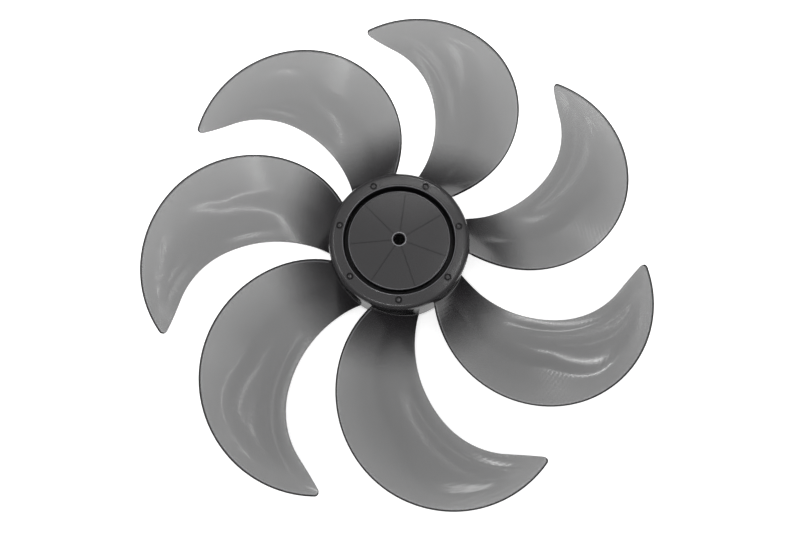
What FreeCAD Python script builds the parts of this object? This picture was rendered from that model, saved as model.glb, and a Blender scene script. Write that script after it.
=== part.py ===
import FreeCAD, Part
import Sketcher
import os
import re
from math import atan2, cos, degrees, hypot, radians, sin, sqrt

# Seven-bladed pedestal fan impeller, one moulding, in millimetres.
# +Z runs along the shaft towards the front, and the origin is the drive pin's seat in the boss.
# Angles are in degrees, and a blade's own angles count from the middle of its root.

SIZES = (
    ("blade_count", 7, "blades, ribs and gate marks alike"),
    ("first_blade_angle", 7.1, "from +X to the middle of the first blade's root"),
    ("sweep_radius", 195, "axis to the furthest point of a blade"),
    ("hub_radius", 52, "outside of the hub at its front"),
    ("hub_depth", 42, "front rim to the rear edge of the skirt"),
    ("hub_wall", 2.5, "skirt, rim, groove and disc"),
    ("skirt_flare", 0.8, "how much wider the skirt is at its rear, for release from the mould"),
    ("rim_round", 4.5, "outer rounding of the front rim"),
    ("rim_width", 11, "front rim, from the outside of the hub to the ring groove"),
    ("groove_width", 3.5, "between rim and disc"),
    ("groove_depth", 9, "below the front rim"),
    ("disc_drop", 1.2, "disc below the front rim"),
    ("collar_wall", 1.4, "raised ring round the bore"),
    ("collar_rise", 1, "collar above the disc"),
    ("bore_radius", 4, "shaft bore"),
    ("bore_chamfer", 0.5, "front mouth of the bore"),
    ("boss_wall", 5, "boss round the bore, behind the disc"),
    ("seat_depth", 22, "front rim to the drive pin's seat"),
    ("slot_depth", 6, "drive pin slot, from the seat to the end of the boss"),
    ("slot_width", 5, "drive pin slot"),
    ("rib_lead", 24, "angle from a blade's root to the next rib"),
    ("rib_thickness", 1.8, "ribs between boss and skirt"),
    ("rib_clearance", 4, "rear edge of the ribs, forward of the drive pin's seat"),
    ("gate_lead", 5.3, "angle from a blade's root to its gate mark"),
    ("gate_inset", 7, "middle of the gate marks, in from the outside of the hub"),
    ("gate_radius", 2.45, "round gate mark in the rim"),
    ("gate_depth", 0.6, "gate mark"),
    ("trail_tip_arc", 86.5, "radius of the trailing edge round the tip"),
    ("trail_reach_angle", 26.6, "direction of the furthest point"),
    ("trail_joint_angle", -20.8, "where that arc runs into the arc from the root, round its centre"),
    ("trail_root_angle", -16, "trailing edge at the hub"),
    ("lead_tip_arc", 61.3, "radius of the leading edge inside the hook of the tip"),
    ("lead_centre_radius", 121.1, "axis to the centre of that arc"),
    ("lead_centre_angle", 46.8, "direction of that centre"),
    ("lead_joint_angle", -43.5, "where that arc runs into the arc from the root, round its centre"),
    ("lead_straight_angle", 3.1, "where that arc runs straight out to the tip, round its centre"),
    ("lead_root_angle", 24.5, "leading edge at the hub"),
    ("tip_round", 2.5, "point of the blade"),
    ("root_drop", 20.8, "middle of the blade below the front rim, at the hub"),
    ("tip_drop", 12.5, "the same at the sweep radius"),
    ("root_pitch", 45, "rise in each radian of turn, at the hub"),
    ("tip_pitch", 17, "the same at the sweep radius"),
    ("skew_back", 35, "angle by which the blade first leans back"),
    ("skew_forward", 64, "angle by which it then sweeps forward"),
    ("half_chord", 18, "angle from the middle of the blade to an edge"),
    ("camber", 2.4, "hollow of the front face"),
    ("root_thickness", 2.6, "blade at the hub"),
    ("tip_thickness", 1.8, "blade at the sweep radius"),
)

# Heights and radii that several outlines share, as formulas of the sizes.
RIM = "seat_depth"
DISC = "seat_depth - disc_drop"
COLLAR = "seat_depth - disc_drop + collar_rise"
GROOVE = "seat_depth - groove_depth"
REAR = "seat_depth - hub_depth"
GROOVE_EDGE = "hub_radius - rim_width"
DISC_EDGE = "hub_radius - rim_width - groove_width"
BOSS = "bore_radius + boss_wall"
ROOT = "hub_radius - hub_wall / 2"

V = FreeCAD.Vector
ALIAS = re.compile(r"\b(%s)\b" % "|".join(alias for alias, number, note in SIZES))

doc = FreeCAD.newDocument("FanBlade")
sheet = doc.addObject("Spreadsheet::Sheet", "Sizes")
for row, (alias, number, note) in enumerate(SIZES, start=1):
    sheet.set("A%d" % row, alias)
    sheet.set("B%d" % row, str(number))
    sheet.setAlias("B%d" % row, alias)
    sheet.set("C%d" % row, note)
doc.recompute()


def bind(item, prop, formula):
    """Ties a property to the sheet by a formula of the sizes' names."""
    item.setExpression(prop, ALIAS.sub(r"Sizes.\1", formula))


def value(formula):
    """What a formula of the sizes' names comes to."""
    return float(sheet.evalExpression(ALIAS.sub(r"Sizes.\1", formula)))


def polar(radius, direction):
    """Point in the plan at a radius and a direction."""
    return V(radius * cos(radians(direction)), radius * sin(radians(direction)), 0)


def plane(body, role):
    """One of a body's own origin planes or axes."""
    return next(item for item in body.Origin.OriginFeatures if item.Role == role)


def sketch_on(body, name, role):
    """Empty sketch on one of a body's origin planes."""
    sketch = body.newObject("Sketcher::SketchObject", name)
    sketch.AttachmentSupport = [(plane(body, role), "")]
    sketch.MapMode = "FlatFace"
    return sketch


def pin(sketch, kind, geometry, end, formula):
    """Holds a point of a sketch at a distance from the origin, along one axis."""
    rule = Sketcher.Constraint(kind, -1, 1, geometry, end, value(formula))
    bind(sketch, "Constraints[%d]" % sketch.addConstraint(rule), formula)


def radius_of(sketch, geometry, formula):
    """Sets the radius of a circle or an arc."""
    rule = Sketcher.Constraint("Radius", geometry, value(formula))
    bind(sketch, "Constraints[%d]" % sketch.addConstraint(rule), formula)


def polygon(sketch, corners):
    """Closed outline of straight lines through corners, each a pair of formulas."""
    points = [V(value(across), value(along), 0) for across, along in corners]
    for number, point in enumerate(points):
        sketch.addGeometry(Part.LineSegment(points[number - 1], point))
    for number, (across, along) in enumerate(corners):
        after = (number + 1) % len(corners)
        sketch.addConstraint(Sketcher.Constraint("Coincident", number, 2, after, 1))
        pin(sketch, "DistanceX", number, 2, across)
        pin(sketch, "DistanceY", number, 2, along)


def ease_ring(body, kind, name, base, ring_radius, height):
    """Fillet or chamfer on the circular edge of the given radius and height."""
    doc.recompute()
    edges = [
        "Edge%d" % number
        for number, edge in enumerate(base.Shape.Edges, start=1)
        if isinstance(edge.Curve, Part.Circle)
        and abs(edge.Curve.Radius - value(ring_radius)) < 1e-3
        and abs(edge.Curve.Center.z - value(height)) < 1e-3
    ]
    easing = body.newObject("PartDesign::%s" % kind, name)
    easing.Base = (base, edges)
    return easing


def all_round(body, name, feature):
    """Repeats a feature of the hub once for each blade."""
    pattern = body.newObject("PartDesign::PolarPattern", name)
    pattern.Originals = [feature]
    pattern.Axis = (plane(body, "Z_Axis"), [""])
    pattern.Angle = 360
    bind(pattern, "Occurrences", "blade_count")
    body.Tip = pattern
    return pattern


def hub():
    """Open cup with a grooved face, a bored boss, ribs behind the face and gate marks in the rim."""
    body = doc.addObject("PartDesign::Body", "Hub")
    profile = sketch_on(body, "HubProfile", "XZ_Plane")
    polygon(profile, (
        ("bore_radius", "-slot_depth"),
        ("bore_radius", COLLAR + " - bore_chamfer"),
        ("bore_radius + bore_chamfer", COLLAR),
        ("bore_radius + collar_wall", COLLAR),
        ("bore_radius + collar_wall", DISC),
        (DISC_EDGE, DISC),
        (DISC_EDGE, GROOVE),
        (GROOVE_EDGE, GROOVE),
        (GROOVE_EDGE, RIM),
        ("hub_radius", RIM),
        ("hub_radius + skirt_flare", REAR),
        ("hub_radius + skirt_flare - hub_wall", REAR),
        ("hub_radius - hub_wall", RIM + " - hub_wall"),
        (GROOVE_EDGE + " + hub_wall", RIM + " - hub_wall"),
        (GROOVE_EDGE + " + hub_wall", GROOVE + " - hub_wall"),
        (DISC_EDGE + " - hub_wall", GROOVE + " - hub_wall"),
        (DISC_EDGE + " - hub_wall", DISC + " - hub_wall"),
        (BOSS, DISC + " - hub_wall"),
        (BOSS, "-slot_depth"),
    ))
    cup = body.newObject("PartDesign::Revolution", "Cup")
    cup.Profile = profile
    cup.ReferenceAxis = (profile, ["V_Axis"])
    cup.Angle = 360
    outside = ease_ring(body, "Fillet", "RimRound", cup, "hub_radius", RIM)
    bind(outside, "Radius", "rim_round")
    inside = ease_ring(body, "Chamfer", "RimInside", outside,
                       "hub_radius - hub_wall", RIM + " - hub_wall")
    bind(inside, "Size", "rim_round - hub_wall")

    outline = sketch_on(body, "RibOutline", "XZ_Plane")
    outline.AttachmentOffset = FreeCAD.Placement(V(), FreeCAD.Rotation(V(0, 1, 0), 1))
    bind(outline, "AttachmentOffset.Rotation.Angle", "(first_blade_angle + rib_lead) * 1 deg")
    polygon(outline, (
        (BOSS + " - boss_wall / 2", "rib_clearance"),
        (ROOT, "rib_clearance"),
        (ROOT, RIM + " - rim_round"),
        ("hub_radius - rim_round", RIM + " - hub_wall / 2"),
        (GROOVE_EDGE + " + hub_wall / 2", RIM + " - hub_wall / 2"),
        (GROOVE_EDGE + " + hub_wall / 2", GROOVE + " - hub_wall / 2"),
        (DISC_EDGE + " - hub_wall / 2", GROOVE + " - hub_wall / 2"),
        (DISC_EDGE + " - hub_wall / 2", DISC + " - hub_wall / 2"),
        (BOSS + " - boss_wall / 2", DISC + " - hub_wall / 2"),
    ))
    rib = body.newObject("PartDesign::Pad", "Rib")
    rib.Profile = outline
    rib.SideType = "Symmetric"
    bind(rib, "Length", "rib_thickness")
    all_round(body, "Ribs", rib)

    ring = sketch_on(body, "GateOutline", "XY_Plane")
    bind(ring, "AttachmentOffset.Base.z", RIM)
    direction = "(first_blade_angle + gate_lead)"
    centre = polar(value("hub_radius - gate_inset"), value(direction))
    ring.addGeometry(Part.Circle(centre, V(0, 0, 1), value("gate_radius")))
    radius_of(ring, 0, "gate_radius")
    pin(ring, "DistanceX", 0, 3, "(hub_radius - gate_inset) * cos%s" % direction)
    pin(ring, "DistanceY", 0, 3, "(hub_radius - gate_inset) * sin%s" % direction)
    gate = body.newObject("PartDesign::Pocket", "GateMark")
    gate.Profile = ring
    bind(gate, "Length", "gate_depth")
    all_round(body, "GateMarks", gate)

    across = sketch_on(body, "SlotOutline", "XY_Plane")
    polygon(across, (
        ("-2 * (%s)" % BOSS, "-slot_width / 2"),
        ("2 * (%s)" % BOSS, "-slot_width / 2"),
        ("2 * (%s)" % BOSS, "slot_width / 2"),
        ("-2 * (%s)" % BOSS, "slot_width / 2"),
    ))
    slot = body.newObject("PartDesign::Pocket", "PinSlot")
    slot.Profile = across
    bind(slot, "Length", "slot_depth")
    body.Tip = slot
    return body


def span_share(across, along):
    """How far out a point in the plan lies: 0 at the hub and 1 at the sweep radius."""
    return (hypot(across, along) - value("hub_radius")) / value("sweep_radius - hub_radius")


def mean_point(across, along):
    """Point half-way through the blade, above or below a point in the plan."""
    share = span_share(across, along)
    middle_line = value("skew_forward") * share ** 2 - value("skew_back") * share
    turn = degrees(atan2(along, across)) - middle_line
    drop = value("root_drop") + value("tip_drop - root_drop") * share
    pitch = value("root_pitch") + value("tip_pitch - root_pitch") * share ** 3
    hollow = value("camber") * (1 - (turn / value("half_chord")) ** 2)
    return V(across, along, value(RIM) - drop - pitch * radians(turn) - hollow)


def face_point(across, along, side):
    """Point on the front (side 1) or the rear (side -1) of the blade, square to its middle."""
    step_across = mean_point(across + 0.5, along) - mean_point(across - 0.5, along)
    step_along = mean_point(across, along + 0.5) - mean_point(across, along - 0.5)
    share = span_share(across, along)
    thickness = value("root_thickness") + value("tip_thickness - root_thickness") * share
    square = step_across.cross(step_along).normalize()
    return mean_point(across, along) + square * (side * thickness / 2)


def blade_skin(plan):
    """Twisted, hollowed plate, a little larger all round than the blade's plan."""
    doc.recompute()
    box = plan.Shape.BoundBox
    box.enlarge(2 * value("root_thickness"))
    steps = [number / 7 for number in range(8)]
    faces = []
    for side in (1, -1):
        rows = [
            [face_point(box.XMin + box.XLength * out, box.YMin + box.YLength * up, side) for up in steps]
            for out in steps
        ]
        surface = Part.BSplineSurface()
        surface.interpolate(rows)
        faces.append(surface.toShape())
    front, rear = faces
    walls = [Part.makeRuledSurface(*pair) for pair in zip(front.Edges, rear.Edges)]
    shell = Part.Shell(faces + walls)
    shell.sewShape()
    skin = doc.addObject("Part::Feature", "BladeSkin")
    skin.Shape = Part.Solid(shell)
    return skin


def joined_arc(start, joint, centre):
    """Centre of the arc from a start that runs smoothly into an arc of another centre at a joint."""
    inward = (centre - joint).normalize()
    chord = joint - start
    return joint - inward * (chord.dot(chord) / (2 * inward.dot(chord)))


def arc(centre, start, end):
    """Arc round a centre, anticlockwise from a start to an end."""
    radius = (start - centre).Length
    turns = [(point - centre).getAngle(V(1, 0, 0)) for point in (start, end)]
    signed = [turn if point.y >= centre.y else -turn for turn, point in zip(turns, (start, end))]
    return Part.ArcOfCircle(Part.Circle(centre, V(0, 0, 1), radius), *signed)


def tip_centre(trail_centre, straight_start, outward):
    """Centre of the round that touches the straight end of one edge and the arc of the other."""
    along = V(-outward.y, outward.x, 0)
    offset = straight_start + outward * value("tip_round") - trail_centre
    reach = value("trail_tip_arc - tip_round")
    slide = sqrt(along.dot(offset) ** 2 - offset.dot(offset) + reach ** 2) - along.dot(offset)
    return trail_centre + offset + along * slide


def blade_plan():
    """Sickle outline of a blade in the plan, of arcs that run into each other, from the skirt's wall."""
    trail_centre_radius = "(sweep_radius - trail_tip_arc)"
    trail_centre = polar(value(trail_centre_radius), value("trail_reach_angle"))
    lead_centre = polar(value("lead_centre_radius"), value("lead_centre_angle"))
    trail_start = polar(value(ROOT), value("trail_root_angle"))
    lead_start = polar(value(ROOT), value("lead_root_angle"))
    trail_joint = trail_centre + polar(value("trail_tip_arc"), value("trail_joint_angle"))
    lead_joint = lead_centre + polar(value("lead_tip_arc"), value("lead_joint_angle"))
    outward = polar(1, value("lead_straight_angle"))
    lead_straight = lead_centre + outward * value("lead_tip_arc")
    tip = tip_centre(trail_centre, lead_straight, outward)
    trail_end = tip + (tip - trail_centre).normalize() * value("tip_round")
    lead_end = tip - outward * value("tip_round")

    sketch = doc.addObject("Sketcher::SketchObject", "BladePlan")
    sketch.addGeometry([
        arc(V(), trail_start, lead_start),
        arc(joined_arc(trail_start, trail_joint, trail_centre), trail_start, trail_joint),
        arc(trail_centre, trail_joint, trail_end),
        arc(tip, trail_end, lead_end),
        Part.LineSegment(lead_straight, lead_end),
        arc(lead_centre, lead_joint, lead_straight),
        arc(joined_arc(lead_start, lead_joint, lead_centre), lead_start, lead_joint),
    ])
    root, trail_root, trail_tip, point, straight, lead_tip, lead_root = range(7)
    start, end, centre = 1, 2, 3
    for kind, first, first_end, second, second_end in (
        ("Coincident", root, centre, -1, start),
        ("Coincident", root, start, trail_root, start),
        ("Tangent", trail_root, end, trail_tip, start),
        ("Tangent", trail_tip, end, point, start),
        ("Tangent", point, end, straight, end),
        ("Tangent", straight, start, lead_tip, end),
        ("Tangent", lead_tip, start, lead_root, end),
        ("Coincident", lead_root, start, root, end),
    ):
        sketch.addConstraint(Sketcher.Constraint(kind, first, first_end, second, second_end))
    radius_of(sketch, root, ROOT)
    radius_of(sketch, trail_tip, "trail_tip_arc")
    radius_of(sketch, point, "tip_round")
    radius_of(sketch, lead_tip, "lead_tip_arc")
    trail_height = trail_centre_radius + " * sin(trail_reach_angle)"
    lead_height = "lead_centre_radius * sin(lead_centre_angle)"
    pin(sketch, "DistanceX", trail_tip, centre, trail_centre_radius + " * cos(trail_reach_angle)")
    pin(sketch, "DistanceY", trail_tip, centre, trail_height)
    pin(sketch, "DistanceX", lead_tip, centre, "lead_centre_radius * cos(lead_centre_angle)")
    pin(sketch, "DistanceY", lead_tip, centre, lead_height)
    pin(sketch, "DistanceY", trail_root, start, "(%s) * sin(trail_root_angle)" % ROOT)
    pin(sketch, "DistanceY", lead_root, start, "(%s) * sin(lead_root_angle)" % ROOT)
    pin(sketch, "DistanceY", trail_tip, start,
        trail_height + " + trail_tip_arc * sin(trail_joint_angle)")
    pin(sketch, "DistanceY", lead_tip, start,
        lead_height + " + lead_tip_arc * sin(lead_joint_angle)")
    pin(sketch, "DistanceY", lead_tip, end,
        lead_height + " + lead_tip_arc * sin(lead_straight_angle)")
    return sketch


def blade():
    """One blade: the skin trimmed to the plan."""
    plan = blade_plan()
    column = doc.addObject("Part::Extrusion", "BladeColumn")
    column.Base = plan
    column.DirMode = "Custom"
    column.Dir = V(0, 0, 1)
    column.Solid = True
    bind(column, "LengthFwd", "seat_depth + hub_depth")
    bind(column, "LengthRev", "2 * hub_depth")
    trimmed = doc.addObject("Part::Common", "Blade")
    trimmed.Base = blade_skin(plan)
    trimmed.Tool = column
    return trimmed


def fan():
    """Hub and blades fused into one moulding."""
    first = blade()
    blades = []
    for number in range(int(value("blade_count"))):
        turned = doc.addObject("App::Link", "Blade%d" % (number + 1))
        turned.LinkedObject = first
        turned.LinkTransform = True
        turned.Placement = FreeCAD.Placement(V(), FreeCAD.Rotation(V(0, 0, 1), 1))
        bind(turned, "Placement.Rotation.Angle",
             "(first_blade_angle + %d * 360 / blade_count) * 1 deg" % number)
        blades.append(turned)
    moulding = doc.addObject("Part::MultiFuse", "FanBlade")
    moulding.Label = "fan_blade"
    moulding.Shapes = [hub()] + blades
    moulding.Refine = True
    return moulding


part = fan()
doc.recompute()
for item in doc.Objects:
    faults = {"Invalid", "Error"} & set(item.State)
    shape = getattr(item, "Shape", None)
    if faults or (shape is not None and (shape.isNull() or not shape.isValid())):
        raise RuntimeError("%s is not sound: %s" % (item.Label, item.State))

os.makedirs("parts", exist_ok=True)
part.Shape.exportStep("parts/%s.step" % part.Label)
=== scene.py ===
"""Pedestal fan blade in smoke-grey, see-through plastic, dressed for rendering.

The moulding is rebuilt finely in place of its CAD node: a turned hub with ribs, a bored and slotted
boss and gate marks, and a ring of twisted sickle blades with rounded edges and root fillets.
Sizes of the part are in millimetres and angles in degrees, as on a drawing. Meshes are in metres.
"""

import logging
import math
from dataclasses import dataclass, field
from enum import Enum
from typing import Any, Mapping, Optional, Sequence, Union

import bmesh
import bpy
from bmesh.types import BMesh
from bpy.types import Material, Mesh, Node, NodeSocket, NodeTree, Object, World
from mathutils import Matrix, Vector
from mathutils.kdtree import KDTree

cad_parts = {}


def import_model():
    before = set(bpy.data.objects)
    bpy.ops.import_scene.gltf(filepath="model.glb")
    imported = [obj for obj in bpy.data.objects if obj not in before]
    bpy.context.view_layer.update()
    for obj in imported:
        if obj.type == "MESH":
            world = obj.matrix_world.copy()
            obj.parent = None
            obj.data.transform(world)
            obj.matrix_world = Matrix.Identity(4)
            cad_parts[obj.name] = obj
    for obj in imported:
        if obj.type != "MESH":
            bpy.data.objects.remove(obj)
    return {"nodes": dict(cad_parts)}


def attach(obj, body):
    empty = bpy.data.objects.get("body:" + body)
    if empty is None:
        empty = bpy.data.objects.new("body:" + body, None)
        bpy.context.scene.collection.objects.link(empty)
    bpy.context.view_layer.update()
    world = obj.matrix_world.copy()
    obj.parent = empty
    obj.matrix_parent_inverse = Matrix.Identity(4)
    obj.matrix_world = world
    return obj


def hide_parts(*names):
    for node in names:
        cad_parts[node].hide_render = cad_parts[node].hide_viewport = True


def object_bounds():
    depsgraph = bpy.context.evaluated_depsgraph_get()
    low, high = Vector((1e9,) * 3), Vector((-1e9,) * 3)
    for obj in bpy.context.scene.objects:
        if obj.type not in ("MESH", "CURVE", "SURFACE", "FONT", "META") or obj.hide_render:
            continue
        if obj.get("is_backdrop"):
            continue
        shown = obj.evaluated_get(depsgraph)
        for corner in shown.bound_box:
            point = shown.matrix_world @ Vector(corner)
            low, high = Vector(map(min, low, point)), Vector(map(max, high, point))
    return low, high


LOG = logging.getLogger("fan_blade")
MM = 0.001
IMAGE_WIDTH = 800
# A turned point nearer to the axis than this, in millimetres, lies on it.
ON_AXIS = 1e-6
# Blender's wave texture turns by this many radians in a unit of length, at a scale of 1.
WAVE_RADIANS = 20
# Attributes that carry a flat blade's depth and scoop into its node tree.
CARRIED = ("through", "scoop")
# Settings that many nodes share.
SMOOTH = {"interpolation_type": "SMOOTHSTEP"}
COLOUR = {"data_type": "RGBA"}


def linear(hex_colour: str) -> tuple[float, float, float, float]:
    """Turns an sRGB hex colour into linear RGBA.

    Args:
        hex_colour: Colour as "#RRGGBB".

    Returns:
        Linear red, green and blue, and an alpha of 1.
    """
    shares = [int(hex_colour[at:at + 2], 16) / 255 for at in (1, 3, 5)]
    curve = [s / 12.92 if s <= 0.04045 else ((s + 0.055) / 1.055) ** 2.4 for s in shares]
    return (curve[0], curve[1], curve[2], 1.0)


def add_node(
    tree: NodeTree,
    kind: str,
    settings: Optional[Mapping[str, Any]] = None,
    inputs: Optional[Mapping[Any, Any]] = None,
) -> Node:
    """Adds a node with its settings and links.

    Args:
        tree: Node tree that gets the node.
        kind: Blender's name for the type of node.
        settings: Properties of the node by name.
        inputs: Numbers, sockets to link from, or nodes to link from by their first output, each
            by input name or number.

    Returns:
        The new node.
    """
    node = tree.nodes.new(kind)
    for name, setting in (settings or {}).items():
        setattr(node, name, setting)
    for key, given in (inputs or {}).items():
        source = given.outputs[0] if isinstance(given, Node) else given
        if isinstance(source, NodeSocket):
            tree.links.new(source, node.inputs[key])
        else:
            node.inputs[key].default_value = source
    return node


def bare_tree(owner: Union[Material, World]) -> NodeTree:
    """Gives a new material or world an empty node tree."""
    owner.use_nodes = True
    owner.node_tree.nodes.clear()
    return owner.node_tree


def from_axis(tree: NodeTree, place: NodeSocket) -> NodeSocket:
    """Works out the distance from the shaft's axis at Object coordinates."""
    plan = add_node(tree, "ShaderNodeVectorMath", {"operation": "MULTIPLY"}, {
        0: place, 1: (1, 1, 0)})
    reach = add_node(tree, "ShaderNodeVectorMath", {"operation": "LENGTH"}, {0: plan})
    return reach.outputs["Value"]


def mesh_object(name: str, shape: BMesh) -> Object:
    """Puts a finished bmesh into an object at the origin, its faces pointing outwards.

    Args:
        name: Name of the object and its mesh.
        shape: Closed shape, freed here.

    Returns:
        The new object, linked to the scene.
    """
    bmesh.ops.recalc_face_normals(shape, faces=shape.faces[:])
    mesh = bpy.data.meshes.new(name)
    shape.to_mesh(mesh)
    shape.free()
    made = bpy.data.objects.new(name, mesh)
    bpy.context.scene.collection.objects.link(made)
    return made


def bake_modifiers(piece: Object) -> Object:
    """Replaces an object's mesh by what its modifiers make of it, and removes them.

    Args:
        piece: Object with modifiers.

    Returns:
        The same object, with a plain mesh.
    """
    bpy.context.view_layer.update()
    seen = piece.evaluated_get(bpy.context.evaluated_depsgraph_get())
    finished = bpy.data.meshes.new_from_object(seen)
    raw = piece.data
    piece.modifiers.clear()
    piece.data = finished
    bpy.data.meshes.remove(raw)
    return piece


class Cut(Enum):
    """How one solid acts on another."""

    ADD = "UNION"
    TAKE = "DIFFERENCE"


@dataclass(frozen=True)
class SmokeSan:
    """Smoke-tinted SAN, injection moulded in a polished and milled mould.

    SAN is clear by itself. The tint greys what lies behind a thin blade and turns the hub, where
    the plastic is thicker, to charcoal, deepened there by painted shade, the polished mould leaves
    a gloss that mirrors the soft boxes, and the mould's cutter leaves fine scallops that break
    those reflections into combs. Painted shade darkens the trailing edges and the hub's groove,
    gate marks and skirt, and painted highlights lighten the hub's edges and a line inside each
    trailing edge.
    """

    blade_hex: str = "#3A3A3B"
    # Charcoal of the hub: partly its thicker plastic, partly painted shade, blended out over the
    # blade roots.
    hub_hex: str = "#1B191C"
    # Colour of the painted highlights on the hub's edges and just inside trailing edges.
    painted_highlight_hex: str = "#8C8C90"
    # Colour of painted shade on edges, groove, gate marks and skirt, and of lines over the ribs.
    line_hex: str = "#101011"
    blade_cover: float = 0.595
    hub_cover: float = 0.93
    gloss_roughness: float = 0.15
    dull_roughness: float = 0.21
    refraction: float = 1.57
    gloss: float = 0.55
    pit_gloss: float = 0.0
    # Radii over which the hub's charcoal and painted shade fade out along the blade roots.
    hub_edge: float = 54.0
    thin_and_unshaded_from: float = 104.0
    # The real scallops are 1.15 mm apart, too fine for the render, so they are drawn coarser.
    scallop_pitch: float = 2.6
    flow_length: float = 34.0
    flow_detail: float = 3.0
    flow_grain: float = 0.55
    flow_low: float = 0.3
    flow_high: float = 0.7
    # Sparked mould steel leaves a fine orange peel on the hub, drawn coarser than its true 0.2 mm.
    peel_length: float = 1.6
    peel_detail: float = 2.0
    relief_depth: float = 0.02
    relief_strength: float = 0.8
    hub_fade: float = 1.0
    disc_fade: float = 0.5
    rib_line_width: float = 0.8
    rib_line_strength: float = 0.4
    edge_line_fades: float = 0.73
    edge_line_full: float = 0.86
    # Where, how wide and how strong the painted glint inside each trailing edge is.
    glint_at: float = 0.57
    glint_width: float = 0.13
    glint_strength: float = 0.5

    def material(self, hub: "HubSizes") -> Material:
        """Builds the plastic's node material.

        Args:
            hub: Sizes of the hub, for where its plastic is thicker and painted in shade, and where
                ribs stand behind its disc.

        Returns:
            The material, patterned on Object coordinates.
        """
        made = bpy.data.materials.new("smoke_san_moulded")
        tree = bare_tree(made)
        place = add_node(tree, "ShaderNodeTexCoord").outputs["Object"]
        reach = from_axis(tree, place)
        # Darker and more opaque towards the hub: partly thicker plastic, partly painted shade of
        # the shadow under the cup.
        depth = add_node(tree, "ShaderNodeMapRange", SMOOTH, {
            "Value": reach, "From Min": self.hub_edge * MM, "From Max": self.thin_and_unshaded_from * MM,
            "To Min": 1.0, "To Max": 0.0})
        lines = self.dark_lines(tree, place, reach, hub)
        painted_highlights = self.painted_highlight_lines(tree)
        tint = linear(self.blade_hex)
        for share, shade in ((depth, self.hub_hex), (lines, self.line_hex), (painted_highlights, self.painted_highlight_hex)):
            tint = add_node(tree, "ShaderNodeMix", COLOUR, {
                "Factor": share, "A": tint, "B": linear(shade)}).outputs["Result"]
        shine = add_node(tree, "ShaderNodeMapRange", {}, {
            "Value": lines, "To Min": self.gloss, "To Max": self.pit_gloss})
        # The hub's charcoal, its painted shade and the dark lines also make the plastic more
        # opaque.
        thickness_and_shade = add_node(tree, "ShaderNodeMath", {"operation": "MAXIMUM"}, {0: depth, 1: lines})
        cover = add_node(tree, "ShaderNodeMapRange", {}, {
            "Value": thickness_and_shade, "To Min": self.blade_cover, "To Max": self.hub_cover})
        flow = add_node(tree, "ShaderNodeTexNoise", {}, {
            "Vector": place, "Scale": 1 / (self.flow_length * MM),
            "Detail": self.flow_detail, "Roughness": self.flow_grain})
        sheen = add_node(tree, "ShaderNodeMapRange", {}, {
            "Value": flow, "From Min": self.flow_low, "From Max": self.flow_high,
            "To Min": self.gloss_roughness, "To Max": self.dull_roughness})
        scallops = add_node(tree, "ShaderNodeTexWave", {
            "wave_type": "RINGS", "rings_direction": "Z", "wave_profile": "SIN"}, {
            "Vector": place, "Distortion": 0.0,
            "Scale": math.tau / (WAVE_RADIANS * self.scallop_pitch * MM)})
        peel = add_node(tree, "ShaderNodeTexNoise", {}, {
            "Vector": place, "Scale": 1 / (self.peel_length * MM), "Detail": self.peel_detail})
        on_hub = add_node(tree, "ShaderNodeMapRange", {}, {
            "Value": reach, "From Min": hub.radius * MM,
            "From Max": (hub.radius + self.hub_fade) * MM, "To Min": 1.0, "To Max": 0.0})
        relief = add_node(tree, "ShaderNodeMix", {"data_type": "FLOAT"}, {
            "Factor": on_hub, "A": scallops.outputs["Fac"], "B": peel})
        grain = add_node(tree, "ShaderNodeBump", {}, {
            "Strength": self.relief_strength, "Distance": self.relief_depth * MM,
            "Height": relief.outputs["Result"]})
        plastic = add_node(tree, "ShaderNodeBsdfPrincipled", {}, {
            "Base Color": tint, "Alpha": cover, "Roughness": sheen, "Normal": grain,
            "IOR": self.refraction, "Specular IOR Level": shine})
        add_node(tree, "ShaderNodeOutputMaterial", {}, {"Surface": plastic})
        return made

    def dark_lines(
        self, tree: NodeTree, place: NodeSocket, reach: NodeSocket, hub: "HubSizes",
    ) -> NodeSocket:
        """Finds where the plastic is drawn dark: painted shade on trailing edges, in the hub's
        groove and gate marks and on its skirt, and lines where the disc lies over the ribs.

        Args:
            tree: The material's tree.
            place: Object coordinates.
            reach: Distance from the shaft's axis.
            hub: Sizes of the hub.

        Returns:
            A number from 0 to 1, 1 in the dark lines.
        """
        apart = add_node(tree, "ShaderNodeSeparateXYZ", {}, {0: place}).outputs
        first = math.radians(hub.first_blade_angle + hub.rib_lead)
        half = math.pi / hub.blade_count
        # Distance across from the nearest rib, by way of the bearing past the first one.
        across = apart["Y"]
        for operation, *others in (
            ("ARCTAN2", apart["X"]), ("SUBTRACT", first), ("WRAP", half, -half), ("SINE",),
            ("MULTIPLY", reach), ("ABSOLUTE",),
        ):
            operands = dict(enumerate((across, *others)))
            across = add_node(tree, "ShaderNodeMath", {"operation": operation}, operands)
        rib = add_node(tree, "ShaderNodeMapRange", SMOOTH, {
            "Value": across, "From Min": 0.0, "From Max": self.rib_line_width * MM,
            "To Min": self.rib_line_strength, "To Max": 0.0})
        inside = add_node(tree, "ShaderNodeMapRange", {}, {
            "Value": reach, "From Min": hub.disc_radius * MM,
            "From Max": (hub.disc_radius + self.disc_fade) * MM, "To Min": 1.0, "To Max": 0.0})
        dark = add_node(tree, "ShaderNodeMath", {"operation": "MULTIPLY"}, {0: rib, 1: inside})
        # Painted shade: a dark line along each trailing edge, standing in for the rounded edge
        # bending the light.
        trail = add_node(tree, "ShaderNodeAttribute", {"attribute_name": "trail_line"})
        edge = add_node(tree, "ShaderNodeMapRange", SMOOTH, {
            "Value": trail.outputs["Fac"], "From Min": self.edge_line_fades,
            "From Max": self.edge_line_full})
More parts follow.
